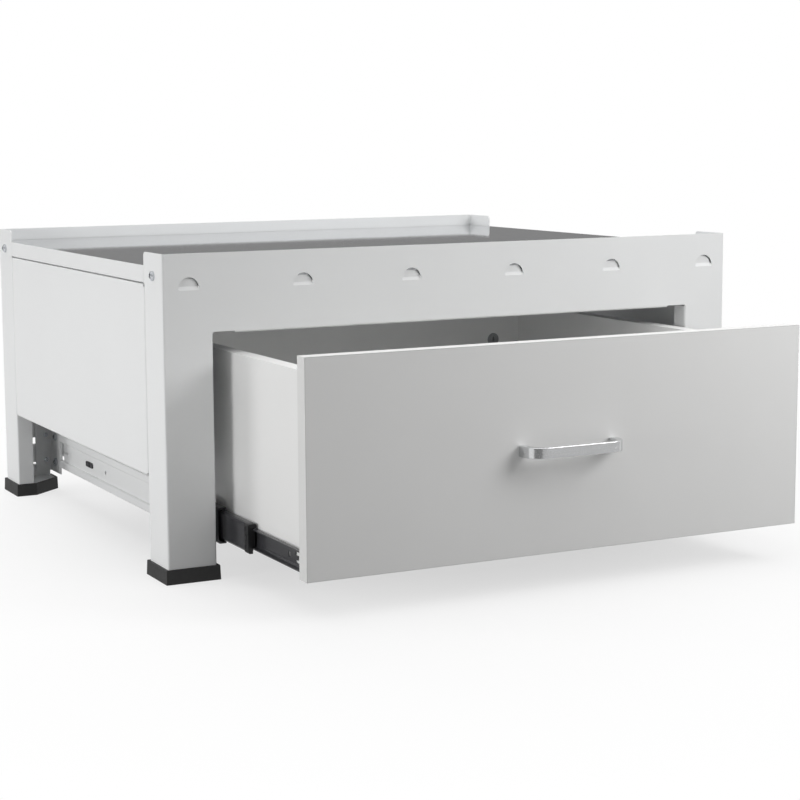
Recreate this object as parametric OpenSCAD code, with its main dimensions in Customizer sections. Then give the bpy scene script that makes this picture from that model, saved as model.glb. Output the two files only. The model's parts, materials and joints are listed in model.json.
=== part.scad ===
// Washing machine pedestal with one drawer on ball-bearing slides.
// Millimetres, +Z up, front towards -Y. Pieces are drawn in the frame's own
// coordinates (x = 0 in the middle, y = 0 on the front face, z = 0 on the
// floor) and seat() then puts the origin under the middle of the whole object.

/* [Steel frame] */
// Width over the side flanges
frame_w = 632; // [580:1:700]
// Depth from the front face to the rear face
frame_d = 540; // [525:1:620]
// Height of the raised edges above the floor
frame_h = 308.3; // [290:0.1:380]
// Thickness of the folded sheet
sheet_t = 1.2; // [0.8:0.1:1.5]
// Outside radius of every fold
bend_r = 2; // [1.8:0.1:2.6]
// Height of the front and rear aprons
apron_h = 73.5; // [66:0.1:90]
// Width of a front leg's face
leg_w = 49; // [40:0.5:60]
// Width of a rear leg's plate
rear_leg_w = 52.5; // [44:0.5:60]
// Depth of the flange down each side of a leg
flange_d = 49; // [40:1:60]
// Depth of the inner fold of a front leg and of the apron's bottom fold
return_d = 19; // [12:1:24]
// Width of the lip folded inwards at the back of a side flange
lip_w = 18; // [12:1:26]
// Radius of the free top corner of a side flange
flange_corner_r = 4; // [2:0.5:8]
// Length of the corner relief beside each leg
relief_w = 22.4; // [10:0.2:40]
// How far the apron's bottom fold hangs below the relief
relief_h = 1.8; // [1:0.1:3]

/* [Half-moon lances] */
// Number of lances along an apron
lance_count = 6; // [2:1:8]
// Radius of a half-moon
lance_r = 10.5; // [8:0.5:12]
// Straight base of a half-moon below the top of the frame
lance_below = 34; // [30:0.5:36]
// Distance of the outer lances from the frame's sides
lance_edge = 26; // [20:1:34]
// Height of the ramp under each pushed-in tab
lance_ramp_h = 4.3; // [3:0.1:6]
// How far the tabs are pushed in
lance_depth = 4.5; // [3:0.1:5.5]
// How far the two outer tabs are pushed in
end_lance_depth = 2.6; // [1.5:0.1:4]

/* [Deck] */
// Depth of the deck below the top of the frame
deck_drop = 13; // [8:0.5:20]
// Thickness of the deck sheet
deck_t = 1; // [0.8:0.1:1.5]
// Width of the hem under the deck's front and rear edges
deck_hem = 13; // [10:1:20]
// Width of a stiffener under the deck
brace_w = 60; // [40:1:90]
// Height of a stiffener under the deck
brace_h = 20; // [12:1:30]
// Distance of each stiffener from the middle
brace_x = 116; // [80:1:200]
// Height of a side rail's outer face
rail_h = 16.5; // [14.5:0.5:20]
// Width of a side rail's bottom flange
rail_flange = 22; // [14:1:30]
// Length of the tongue that a rail puts behind each side flange
rail_tongue = 43; // [30:1:46]

/* [Side panels] */
// Height of a side panel's lower edge above the floor
panel_z = 95.1; // [70:0.1:130]
// Width of the folds round a side panel
panel_fold = 16; // [10:1:20]
// Visible joint between frame, rail and panel
joint_gap = 0.8; // [0.4:0.1:1.5]
// Height of the first panel rivet above the panel's lower edge, and of the last below its top
rivet_edge = 24; // [16:1:40]

/* [Feet] */
// Height of a rubber foot
foot_h = 13.9; // [12:0.1:25]
// Thickness of the rubber under the leg
foot_sole = 4; // [3:0.5:8]
// Thickness of the foot's rim round the leg
foot_rim = 2.5; // [2:0.1:4]
// How much a foot spreads from its top to its sole
foot_draft = 0.5; // [0:0.1:1.2]

/* [Drawer] */
// Distance that the drawer stands open
pull_out = 191; // [100:1:300]
// Thickness of the coated boards
board_t = 15; // [12:1:18]
// Gap between the drawer front and the floor
front_z = 36.2; // [30:0.1:60]
// Gap between the drawer front and each leg
front_side_gap = 5.3; // [4:0.1:8]
// Gap between the drawer front and the apron
front_top_gap = 2.5; // [2:0.1:5]
// How far the box's top edge lies below the drawer front's
box_drop = 16.5; // [8:0.5:30]
// How far the box's lower edge lies above the drawer front's
box_rise = 2; // [0:0.5:6]
// Length of the drawer's sides
box_l = 471; // [455:1:478]
// Thickness of the drawer's bottom
bottom_t = 5; // [3:0.5:8]
// Height of the bottom's groove above the lower edge of the sides
groove_z = 10; // [8:0.5:16]
// Depth of the bottom's groove
groove_d = 6; // [4:0.5:8]
// Thickness of the edge band on the drawer front
band_t = 0.8; // [0.4:0.1:2]
// Distance of each cam lock from the joint it pulls
cam_x = 34; // [24:1:38]
// Distance of the cam locks from the box's upper and lower edges
cam_z = 39; // [32:1:50]
// Diameter of a cam lock
cam_d = 15; // [12:1:18]

/* [Handle] */
// Distance between the two handle screws
handle_pitch = 96; // [64:16:160]
// Length of a handle foot along the drawer front
handle_foot = 7.5; // [6.5:0.5:12]
// Height of the handle bar
handle_bar = 10; // [8:0.5:16]
// Thickness of the handle bar
handle_t = 4; // [3:0.5:6]
// Distance of the bar's outer face from the drawer front
handle_depth = 24; // [20:1:35]
// Outside radius of the handle's corners
handle_r = 18; // [12:1:20]

/* [Ball-bearing slides] */
// Length of a slide
slide_l = 450; // [430:1:455]
// Width of a slide from the carrier to the drawer's side
slide_w = 12.7; // [12.5:0.1:14]
// Height of the outer member
outer_h = 35; // [35:0.5:40]
// Height of a slide's middle line above the lower edge of the drawer's sides
slide_rise = 9.1; // [9:0.1:30]
// Distance from a leg's inner edge to the slide's outer face
slide_inset = 7.3; // [6.8:0.1:10]
// Thickness of the members
member_t = 1.2; // [1:0.1:1.4]
// Diameter of the steel balls
ball_d = 3.2; // [3:0.1:3.4]
// Flat gap that a row of balls fills between two members
race_gap = 2.8; // [2.6:0.1:3]
// Running clearance round each ball
ball_gap = 0.08; // [0.05:0.01:0.1]
// Distance of the outer ball cage from the slide's front end with the drawer shut
outer_cage_in = 165; // [120:1:180]
// Distance of the inner ball cage from the slide's front end with the drawer shut
inner_cage_in = 190; // [150:1:210]
// Distance of the first rivet from the slide's front end
slide_rivet_front = 60; // [50:1:80]
// Distance between a slide's two rivets
slide_rivet_pitch = 90; // [60:1:120]
// Distance of the first screw from the inner member's front end
inner_screw_front = 140; // [120:1:170]
// Distance of the last screw from the inner member's rear end
inner_screw_rear = 40; // [30:1:60]
// Distance of the slot that takes the slide's rear hook from the rear face of the frame
hook_slot_in = 145; // [120:1:160]
// Length of that slot
hook_slot_l = 24; // [16:1:30]
// Distance of the carrier's spare hole from the rear face of the frame
spare_hole_in = 200; // [175:1:230]
// Length of the plastic stop in front of the middle member
stop_l = 9; // [6:0.5:12]
// Balls in each row
ball_count = 7; // [4:1:9]
// Spacing of the balls
ball_pitch = 15; // [12:1:16]
// Distance of the middle member's front end behind the outer member's with the drawer shut
middle_lag = 35.5; // [20:0.5:60]
// Height of the ridges along the slide carrier
ridge_h = 9.5; // [8:0.5:11]
// How far the ridges stand out from the carrier's web
ridge_out = 2.1; // [1.5:0.1:2.4]
// Height of the slide carrier
carrier_h = 40; // [36:1:46]
// Thickness of the slide brackets
bracket_t = 1.5; // [1.2:0.1:1.5]
// Height of the slide brackets
bracket_h = 56; // [48:1:60]
// Depth of a slide bracket's wing along the carrier
wing_d = 38; // [30:1:50]
// Distance between the two screws in each wing
screw_pitch = 30; // [26:1:34]

/* [Hidden] */

$fn = 48;
eps = 0.01;
fit_gap = 0.3;            // between pieces that lie beside each other
coat_gap = 0.1;           // between pieces that touch on the real thing

half_w = frame_w / 2;
deck_z = frame_h - deck_drop;
open_z = frame_h - apron_h;                    // edge of the relief beside a leg
fold_z = open_z - relief_h;                    // underside of the apron's bottom fold
leg_x = half_w - leg_w;                        // inner edge of a front leg
rear_leg_x = half_w - rear_leg_w;
rail_z = deck_z - rail_h;
panel_top = rail_z - joint_gap - coat_gap;
panel_h = panel_top - panel_z;
lip_top = panel_top;
flange_gap = joint_gap - fit_gap;              // from a side flange to the panel beside it
lance_z = frame_h - lance_below;
lance_rise = 1.5;                              // centre of the half-moon above its base

// Slide: x of its outer face, and the places of its members across its width
slide_x = leg_x - slide_inset;
box_x = slide_x - slide_w;                     // outer face of the drawer's sides
middle_h = outer_h - 2 * (member_t + race_gap);
inner_h = middle_h - 2 * (member_t + race_gap);
web_gap = 1.6;                                 // between the outer and the middle web
middle_a = member_t + web_gap;
outer_tip = 9.2;                               // where each member's flanges end
middle_tip = 11.2;
inner_tip = slide_w - 6;
lip_h = 1.6;                                   // lips turned in at the outer member's flange ends
outer_ball_a = 6.2;
inner_ball_a = 8.2;
cage_t = 0.6;
member_r = 3.2;

// Places along the slide with the drawer open by pull_out
front_clear = 1;                               // from the shut drawer front to the slide
outer_y = board_t + front_clear;
function opened(shut_y, share) = shut_y - share * pull_out;
middle_y = opened(outer_y + middle_lag, 1 / 2);
middle_l = slide_l - middle_lag;
inner_y = opened(board_t + front_clear / 2, 1);
cage_l = ball_count * ball_pitch;
outer_cage_y = opened(outer_y + outer_cage_in, 1 / 4);
inner_cage_y = opened(outer_y + inner_cage_in, 3 / 4);

// Drawer
front_w = 2 * (leg_x - front_side_gap);
front_top = fold_z - front_top_gap;
front_h = front_top - front_z;
face_y = -pull_out;                            // outer face of the drawer front
front_back = face_y + board_t;
box_top = front_top - box_drop;
box_z = front_z + box_rise;
box_h = box_top - box_z;
slide_z = box_z + slide_rise;
box_end = front_back + box_l;
handle_z = front_z + front_h / 2;
handle_end = handle_pitch / 2 + handle_foot / 2;

// Carrier and brackets
web_x = slide_x + sheet_t;                     // outer face of the carrier's web
bracket_x = web_x + bracket_t;                 // outer face of a bracket's wing
front_bracket_y = return_d + bracket_t;
rear_bracket_y = frame_d - sheet_t - wing_d;
bracket_z = slide_z - bracket_h / 2;
carrier_y = front_bracket_y + bracket_t + coat_gap;
carrier_end = frame_d - sheet_t - bracket_t - coat_gap;
front_wing_end = front_bracket_y + wing_d;
screw_d = 5;

// Overall extent along y, for the origin
front_most = face_y - handle_depth;
rear_most = frame_d + foot_rim + foot_draft / 2;

WHITE = [0.9, 0.91, 0.91];
BOARD = [0.86, 0.86, 0.85];
ZINC = [0.62, 0.63, 0.64];
BLACK = [0.13, 0.13, 0.14];
BRIGHT = [0.78, 0.79, 0.8];

module seat() translate([0, -(front_most + rear_most) / 2, 0]) children();

// The right-hand piece is the mirror image of the left-hand one
module hand(side) if (side == "left") children(); else mirror([1, 0, 0]) children();

module both_hands() {
    hand("left") children();
    hand("right") children();
}

// ---- Profiles --------------------------------------------------------------

module corner_waste(r) {
    difference() {
        translate([-eps, -eps]) square(r + eps);
        translate([r, r]) circle(r);
    }
}

// Plate with each corner square (0) or rounded
module plate(w, h, bl = 0, br = 0, tr = 0, tl = 0) {
    difference() {
        square([w, h]);
        if (bl > 0) corner_waste(bl);
        if (br > 0) translate([w, 0]) mirror([1, 0]) corner_waste(br);
        if (tr > 0) translate([w, h]) rotate(180) corner_waste(tr);
        if (tl > 0) translate([0, h]) mirror([0, 1]) corner_waste(tl);
    }
}

// Quarter of a ring in the first quadrant: the section of a fold
module fold(t = sheet_t) {
    intersection() {
        difference() {
            circle(bend_r);
            circle(bend_r - t);
        }
        square(bend_r + eps);
    }
}

// Extrude a drawing made in (x, y) along z, in (y, z) along x, in (x, z) along y
module along_z(from, to) translate([0, 0, from]) linear_extrude(to - from) children();
module along_x(from, to) {
    translate([from, 0, 0]) rotate([90, 0, 90]) linear_extrude(to - from) children();
}
module along_y(from, to) {
    translate([0, to, 0]) rotate([90, 0, 0]) linear_extrude(to - from) children();
}

// ---- Front and rear frames ---------------------------------------------------

function lance_xs() = let (span = frame_w - 2 * lance_edge)
    [for (i = [0 : lance_count - 1]) -span / 2 + span * i / (lance_count - 1)];
function lance_depth_at(i) = (i == 0 || i == lance_count - 1) ? end_lance_depth : lance_depth;

module lance_outline(r) {
    intersection() {
        translate([0, lance_rise]) circle(r);
        translate([-r, 0]) square([2 * r, 2 * r]);
    }
}

// Tab of one lance: a ramp that leads back from the face, then an upright half-moon
module lance_tab(depth) {
    tab_r = lance_r - 0.25;
    drop = sqrt(depth * depth + lance_ramp_h * lance_ramp_h) - lance_ramp_h;
    intersection() {
        along_x(-lance_r, lance_r)
            polygon([[0, 0], [depth, lance_ramp_h], [depth, 2 * lance_r], [depth + sheet_t, 2 * lance_r],
                     [depth + sheet_t, lance_ramp_h - 0.4], [sheet_t, 0]]);
        along_y(0, depth + sheet_t) intersection() {
            lance_outline(tab_r);
            translate([0, lance_rise - drop]) circle(tab_r);
        }
    }
}
lance_top = lance_z + lance_rise + lance_r - 0.25
    - (sqrt(lance_depth * lance_depth + lance_ramp_h * lance_ramp_h) - lance_ramp_h);

// Side flange with its lip, on the left
module leg_flange() {
    translate([-half_w, 0, 0]) {
        along_x(0, sheet_t) difference() {
            translate([bend_r, foot_sole])
                plate(flange_d - bend_r, frame_h - foot_sole, tr = flange_corner_r);
            translate([flange_d - bend_r, 0]) square([bend_r + eps, lip_top]);
        }
        along_z(foot_sole, frame_h) translate([bend_r, bend_r]) rotate(180) fold();
        along_z(foot_sole, lip_top) translate([bend_r, flange_d - bend_r]) rotate(90) fold();
        translate([bend_r, flange_d - sheet_t, foot_sole])
            cube([lip_w - bend_r, sheet_t, lip_top - foot_sole]);
    }
}

// Face sheet between the two outer folds, with the opening cut out
module apron_and_legs(inner_x, fold_in) {
    face_in = fold_in ? inner_x + bend_r : inner_x;
    relief_x = inner_x - relief_w;
    difference() {
        translate([-half_w + bend_r, 0, foot_sole])
            cube([frame_w - 2 * bend_r, sheet_t, frame_h - foot_sole]);
        translate([-inner_x, -eps, 0]) cube([2 * inner_x, sheet_t + 2 * eps, open_z]);
        translate([-face_in, -eps, 0])
            cube([2 * face_in, sheet_t + 2 * eps, open_z - relief_h]);
        translate([-relief_x, -eps, 0])
            cube([2 * relief_x, sheet_t + 2 * eps, fold_z + bend_r]);
        for (x = lance_xs())
            translate([x, 0, lance_z]) along_y(-eps, sheet_t + eps) lance_outline(lance_r);
    }
    for (i = [0 : lance_count - 1])
        translate([lance_xs()[i], 0, lance_z]) lance_tab(lance_depth_at(i));
    // Bottom fold of the apron
    along_x(-relief_x, relief_x) {
        translate([bend_r, fold_z + bend_r]) rotate(180) fold();
        translate([bend_r, fold_z]) square([return_d - bend_r, sheet_t]);
    }
}

// Fold down a front leg's inner edge, on the left
module leg_return() {
    along_z(foot_sole, open_z - relief_h) {
        translate([-leg_x - bend_r, bend_r]) rotate(-90) fold();
        translate([-leg_x - sheet_t, bend_r]) square([sheet_t, return_d - bend_r]);
    }
}

// Plate welded across the bottom of a leg, on the left
module leg_base(wide) {
    translate([-half_w, 0, foot_h - sheet_t - fit_gap]) linear_extrude(sheet_t)
        foot_plan(-sheet_t / 2, wide, flange_d);
}

module front_bracket_hole_cut() {
    for (s = [-1, 1])
        translate([-leg_x - bend_r, return_d / 2 + bend_r / 2, slide_z + s * screw_pitch / 2])
            rotate([0, 90, 0]) cylinder(d = screw_d, h = 2 * bend_r);
}

module rail_hole_cut() {
    translate([-half_w - 1, flange_d / 2, rail_screw_z]) rotate([0, 90, 0]) cylinder(d = screw_d, h = 4);
}
rail_screw_z = rail_z + rail_h / 2;

module rivet_hole_cut() {
    for (z = rivet_zs())
        translate([-rivet_x, flange_d - sheet_t - 1, z]) rotate([-90, 0, 0]) cylinder(d = rivet_d, h = 4);
}
rivet_d = 4;
rivet_x = half_w - lip_w / 2 - bend_r / 2;
function rivet_zs() = [panel_z + rivet_edge, panel_top - rivet_edge];

module front_frame() {
    color(WHITE) seat() {
        apron_and_legs(leg_x, true);
        both_hands() difference() {
            union() {
                leg_flange();
                leg_return();
                leg_base(leg_w);
            }
            front_bracket_hole_cut();
            rail_hole_cut();
            rivet_hole_cut();
        }
    }
}

// Two slots in each rear leg's plate
slot_x = 34;
slot_zs = [56, 29];
slot_h = 2;                                    // height of the lower slot, over its tab
module rear_slots() {
    translate([-half_w + slot_x - 3, -1, slot_zs[0] - 3.75])
        along_y(0, sheet_t + 2) plate(5.5, 7.5, bl = 1, br = 1, tr = 1, tl = 1);
    translate([-half_w + slot_x - 3, -1, slot_zs[1] - slot_h / 2]) cube([5, sheet_t + 2, slot_h]);
}

module rear_bracket_hole_cut() {
    for (s = [-1, 1])
        translate([-rear_screw_x, -1, slide_z + s * screw_pitch / 2])
            rotate([-90, 0, 0]) cylinder(d = rear_screw_d, h = 4);
}
rear_screw_x = bracket_x + 6;
rear_screw_d = 3.2;

module rear_frame() {
    color(WHITE) seat() translate([0, frame_d, 0]) mirror([0, 1, 0]) {
        difference() {
            apron_and_legs(rear_leg_x, false);
            both_hands() {
                rear_slots();
                rear_bracket_hole_cut();
            }
        }
        both_hands() {
            difference() {
                leg_flange();
                rail_hole_cut();
                rivet_hole_cut();
            }
            leg_base(rear_leg_w);
            // tab bent out of the lower slot
            translate([-half_w + slot_x - 3, sheet_t - eps, slot_zs[1] - slot_h / 2 - sheet_t])
                cube([5, 4, sheet_t]);
        }
    }
}

// ---- Deck and rails ------------------------------------------------------------

deck_x = half_w - sheet_t - fit_gap;
deck_y = sheet_t + fit_gap;
hem_z = lance_top + coat_gap;
hem_x = half_w - lance_edge - lance_r - 2;      // the hems end beside the outer lances
deck_side_y = flange_d + 16;                    // where the deck's side folds start

// Section of the deck's front edge in (y, z)
module deck_edge() {
    translate([deck_y, hem_z]) square([deck_t, deck_z - hem_z]);
    translate([deck_y, hem_z]) square([deck_hem, deck_t]);
}

module deck_plate() {
    color(ZINC) seat() {
        translate([-deck_x, deck_y, deck_z - deck_t])
            cube([2 * deck_x, frame_d - 2 * deck_y, deck_t]);
        for (rear = [0, 1])
            translate([0, rear * frame_d, 0]) mirror([0, rear, 0])
                along_x(-hem_x, hem_x) deck_edge();
        both_hands()
            translate([-deck_x, deck_side_y, rail_z + sheet_t + fit_gap])
                cube([deck_t, frame_d - 2 * deck_side_y, rail_h - sheet_t - fit_gap]);
    }
}

// Hat-section stiffener welded under the deck, running from front to back
module deck_brace(side) {
    rim = 10;
    top = deck_z - deck_t;
    from = deck_y + deck_hem + fit_gap;
    color(ZINC) seat() hand(side) along_y(from, frame_d - from) translate([-brace_x, top]) {
        translate([-brace_w / 2, -sheet_t]) square([rim, sheet_t]);
        translate([brace_w / 2 - rim, -sheet_t]) square([rim, sheet_t]);
        translate([-brace_w / 2 + rim - sheet_t, -brace_h]) square([sheet_t, brace_h]);
        translate([brace_w / 2 - rim, -brace_h]) square([sheet_t, brace_h]);
        translate([-brace_w / 2 + rim - sheet_t, -brace_h])
            square([brace_w - 2 * rim + 2 * sheet_t, sheet_t]);
    }
}

module side_rail(side) {
    rail_y = flange_d + flange_gap;
    end_y = frame_d - rail_y;
    corner = 2.5;
    tongue_z = rail_z + sheet_t + 0.5;
    color(WHITE) seat() hand(side) difference() {
        union() {
            // outer face, its lower fold and the bottom flange that carries the deck
            translate([-half_w, 0, 0]) intersection() {
                along_y(rail_y, end_y) {
                    translate([0, rail_z + bend_r]) square([sheet_t, rail_h - bend_r]);
                    translate([bend_r, rail_z + bend_r]) rotate(180) fold();
                    translate([bend_r, rail_z]) square([rail_flange - bend_r, sheet_t]);
                }
                along_x(-1, rail_flange + 1) translate([rail_y, rail_z])
                    plate(end_y - rail_y, rail_h, bl = corner, br = corner);
            }
            for (rear = [0, 1])
                translate([0, rear * frame_d, 0]) mirror([0, rear, 0])
                    translate([-half_w + sheet_t, flange_d - rail_tongue, tongue_z])
                        cube([sheet_t, rail_tongue + 12, deck_z - deck_t - 0.5 - tongue_z]);
        }
        rail_hole_cut();
        translate([0, frame_d, 0]) mirror([0, 1, 0]) rail_hole_cut();
    }
}

// ---- Side panels -----------------------------------------------------------------

module side_panel(side) {
    from = flange_d + flange_gap;
    to = frame_d - from;
    notch = bend_r + 0.6;                       // relief where two folds would meet
    color(WHITE) seat() hand(side) translate([-half_w, 0, 0]) difference() {
        union() {
            translate([0, from + bend_r, panel_z + bend_r])
                cube([sheet_t, to - from - 2 * bend_r, panel_h - 2 * bend_r]);
            for (rear = [0, 1])
                translate([0, rear * frame_d, 0]) mirror([0, rear, 0])
                    along_z(panel_z + notch, panel_top - notch) {
                        translate([bend_r, from + bend_r]) rotate(180) fold();
                        translate([bend_r, from]) square([panel_fold - bend_r, sheet_t]);
                    }
            along_y(from + notch, to - notch) {
                translate([bend_r, panel_z + bend_r]) rotate(180) fold();
                translate([bend_r, panel_z]) square([panel_fold - bend_r, sheet_t]);
                translate([bend_r, panel_top - bend_r]) rotate(90) fold();
                translate([bend_r, panel_top - sheet_t]) square([panel_fold - bend_r, sheet_t]);
            }
        }
        translate([half_w, 0, 0]) {
            rivet_hole_cut();
            translate([0, frame_d, 0]) mirror([0, 1, 0]) rivet_hole_cut();
        }
    }
}

module rivet() {
    reach = 2 * sheet_t + flange_gap;
    head_h = 1.2;
    rotate([-90, 0, 0]) {
        cylinder(d = rivet_d - 2 * coat_gap, h = reach);
        translate([0, 0, -head_h]) cylinder(d1 = rivet_d, d2 = 2 * rivet_d - 1, h = head_h, $fn = 48);
        translate([0, 0, reach]) cylinder(d = 2 * rivet_d - 2, h = head_h);
    }
}

module panel_rivets() {
    color(BRIGHT) seat() both_hands() for (rear = [0, 1], z = rivet_zs())
        translate([0, rear * frame_d, 0]) mirror([0, rear, 0])
            translate([-rivet_x, flange_d - sheet_t, z]) rivet();
}

// ---- Screws ---------------------------------------------------------------------

// Pan-head screw with a cross recess: head above z = 0, shank below
module pan_screw(d, head_d, head_h, reach) {
    cross_w = head_d * 0.14;
    cross_l = head_d * 0.56;
    difference() {
        union() {
            cylinder(d = head_d, h = head_h * 0.45);
            translate([0, 0, head_h * 0.45]) intersection() {
                cylinder(d = head_d, h = head_h * 0.55);
                translate([0, 0, head_h * 0.55 - head_d * 0.62]) sphere(r = head_d * 0.62);
            }
        }
        for (a = [0, 90]) rotate(a)
            translate([-cross_l / 2, -cross_w / 2, head_h * 0.35]) cube([cross_l, cross_w, head_h]);
    }
    translate([0, 0, -reach]) cylinder(d = d - 2 * coat_gap, h = reach);
}

module at_rail_screws() {
    both_hands() for (y = [flange_d / 2, frame_d - flange_d / 2])
        translate([-half_w, y, rail_screw_z]) rotate([0, -90, 0]) children();
}

module rail_screws() {
    color(BRIGHT) seat() at_rail_screws() rotate(45) pan_screw(screw_d, 9.5, 3.6, 2 * sheet_t + 5);
}

nut_t = 4;
module rail_nuts() {
    color(BRIGHT) seat() at_rail_screws() translate([0, 0, -2 * sheet_t - nut_t - coat_gap])
        difference() {
            cylinder(d = 9, h = nut_t, $fn = 6);
            translate([0, 0, -1]) cylinder(d = screw_d, h = nut_t + 2);
        }
}

// ---- Feet -----------------------------------------------------------------------

// Plan of a foot: square outer corner, oblique towards the middle of the frame
module foot_plan(rim, wide, deep) {
    polygon([[-rim, -rim], [wide + rim, -rim], [wide + rim, deep * 0.45],
             [deep * 0.42, deep + rim], [-rim, deep + rim]]);
}

// Rubber cap round the foot of a leg, drawn for the front left corner
module foot(side, rear) {
    wide = rear ? rear_leg_w : leg_w;
    slot = sheet_t + fit_gap;
    bed = foot_sole + fit_gap;
    color(BLACK) seat() hand(side) translate([0, rear ? frame_d : 0, 0]) mirror([0, rear ? 1 : 0, 0])
        translate([-half_w, 0, 0]) {
            difference() {
                hull() {
                    linear_extrude(0.5) foot_plan(foot_rim + foot_draft / 2, wide, flange_d);
                    translate([0, 0, foot_h - 0.5])
                        linear_extrude(0.5) foot_plan(foot_rim - foot_draft / 2, wide, flange_d);
                }
                translate([0, 0, foot_sole]) linear_extrude(foot_h) foot_plan(coat_gap, wide, flange_d);
            }
            // core that fills the leg's section
            translate([0, 0, foot_sole - eps]) linear_extrude(foot_h - 3 - foot_sole) difference() {
                foot_plan(-slot, wide - 1, flange_d);
                translate([lip_w - slot, flange_d - return_d]) square([wide, flange_d]);
            }
        }
}

// ---- Slide carriers and brackets -------------------------------------------------

// Section of one ridge in (x, z), its web side at x = 0, standing out to -x
module ridge() {
    r = ridge_out;
    difference() {
        translate([-ridge_out, 0]) plate(ridge_out + sheet_t, ridge_h, bl = r, tl = r);
        translate([-ridge_out + sheet_t, sheet_t])
            plate(ridge_out + sheet_t, ridge_h - 2 * sheet_t, bl = r - sheet_t, tl = r - sheet_t);
    }
}

end_slot_l = 10.5;                              // open end of the web beside the rear wing
end_slot_notch = 15;
strap_in = 8;                                   // from the web to the strap folded back behind it
hook_y = frame_d - hook_slot_in;
spare_hole_y = frame_d - spare_hole_in;
module slide_carrier(side) {
    web_h = carrier_h - 2 * ridge_h;
    low = slide_z - carrier_h / 2;
    from = front_wing_end + fit_gap;
    to = rear_bracket_y - fit_gap;
    color(WHITE) seat() hand(side) difference() {
        union() {
            translate([-web_x, from, low]) cube([sheet_t, to - from, carrier_h]);
            translate([-web_x, carrier_y, low]) cube([sheet_t, carrier_end - carrier_y, carrier_h]);
            translate([-web_x, 0, 0]) along_y(from, to) {
                translate([0, low]) ridge();
                translate([0, low + carrier_h - ridge_h]) ridge();
            }
            // rear end folded round and back behind the open end
            translate([-web_x, carrier_end - sheet_t, low + ridge_h])
                cube([sheet_t + strap_in + sheet_t, sheet_t, web_h]);
            translate([-slide_x + strap_in, slide_end + 4, low + ridge_h])
                cube([sheet_t, carrier_end - slide_end - 4, web_h]);
        }
        // channels behind the ridges
        translate([-web_x, 0, 0]) along_y(from - eps, to + eps) for (z = [low, low + carrier_h - ridge_h])
            translate([-eps, z + sheet_t]) square([sheet_t + 2 * eps, ridge_h - 2 * sheet_t]);
        // open end, with its small notch
        translate([-web_x - 1, to - end_slot_l, low + ridge_h])
            along_x(0, sheet_t + 2) plate(end_slot_l - 0.5, web_h, bl = 3, tl = 3);
        translate([-web_x - 1, to - end_slot_l - end_slot_notch, slide_z - 1])
            cube([sheet_t + 1.5, end_slot_notch + 1, 2]);
        // slot for the slide's rear hook, spare hole and the holes for the slide's rivets
        translate([-web_x - 1, hook_y, slide_z]) along_x(0, sheet_t + 1.5) hook_outline(0);
        translate([-web_x - 1, spare_hole_y, slide_z - 0.5]) rotate([0, 90, 0])
            cylinder(d = rivet_d + 0.4, h = sheet_t + 1.5);
        for (y = slide_rivet_ys())
            translate([-web_x - 1, y, slide_z]) rotate([0, 90, 0]) cylinder(d = rivet_d, h = 4);
        wing_hole_cut();
    }
}
slide_end = outer_y + slide_l;
function slide_rivet_ys() = [for (i = [0, 1]) outer_y + slide_rivet_front + i * slide_rivet_pitch];

// Outline of the hook slot in (y, z), smaller by a gap
module hook_outline(gap) {
    l = hook_slot_l - 2 * gap;
    h = 6.4 - 2 * gap;
    translate([-l / 2, -h / 2]) plate(l, h, bl = 2, br = 2, tr = 2, tl = 2);
}

// Screw holes in both wings
wing_screw_ys = [front_wing_end - wing_d * 0.36, rear_bracket_y + wing_d * 0.4];
module wing_hole_cut() {
    for (y = wing_screw_ys, s = [-1, 1])
        translate([-bracket_x - 1, y, slide_z + s * screw_pitch / 2])
            rotate([0, 90, 0]) cylinder(d = screw_d, h = bracket_t + sheet_t + 2);
}

// Z-shaped bracket inside the front leg's inner fold
module front_bracket(side) {
    leg_in = leg_x + sheet_t + coat_gap;        // inner face of the leg's fold
    shelf_y = front_bracket_y;
    color(WHITE) seat() hand(side) difference() {
        union() {
            translate([-leg_in - bracket_t, bend_r + 1.5, bracket_z])
                cube([bracket_t, shelf_y - bend_r - 1.5 + bracket_t, bracket_h]);
            translate([-leg_in - bracket_t, shelf_y, bracket_z])
                cube([leg_in + bracket_t - bracket_x + bracket_t, bracket_t, bracket_h]);
            translate([-bracket_x, shelf_y, bracket_z])
                cube([bracket_t - coat_gap, wing_d, bracket_h]);
        }
        front_bracket_hole_cut();
        translate([-1, 0, 0]) front_bracket_hole_cut();
        wing_hole_cut();
    }
}

// L-shaped bracket in the corner of the rear leg's plate
module rear_bracket(side) {
    back_w = 20;
    plate_y = frame_d - sheet_t - bracket_t - coat_gap;
    color(WHITE) seat() hand(side) difference() {
        union() {
            translate([-bracket_x - back_w + bracket_t, plate_y, bracket_z])
                cube([back_w - bend_r, bracket_t, bracket_h]);
            translate([-bracket_x, rear_bracket_y, bracket_z])
                cube([bracket_t - coat_gap, wing_d - bracket_t, bracket_h]);
            translate([-bracket_x - bend_r, plate_y, bracket_z])
                cube([bend_r + bracket_t - coat_gap, bracket_t, bracket_h]);
        }
        wing_hole_cut();
        translate([0, frame_d, 0]) mirror([0, 1, 0]) {
            rear_bracket_hole_cut();
            translate([0, 2, 0]) rear_bracket_hole_cut();
        }
    }
}

module bracket_screws() {
    grip = sheet_t + coat_gap + bracket_t;
    color(BRIGHT) seat() both_hands() for (s = [-1, 1]) {
        translate([-leg_x - grip, return_d / 2 + bend_r / 2, slide_z + s * screw_pitch / 2])
            rotate([0, -90, 0]) rotate(20) pan_screw(screw_d, 8, 2.4, grip);
        translate([-rear_screw_x, frame_d - grip, slide_z + s * screw_pitch / 2])
            rotate([90, 0, 0]) rotate(30) pan_screw(rear_screw_d, 5, 1.5, grip);
    }
}

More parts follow.
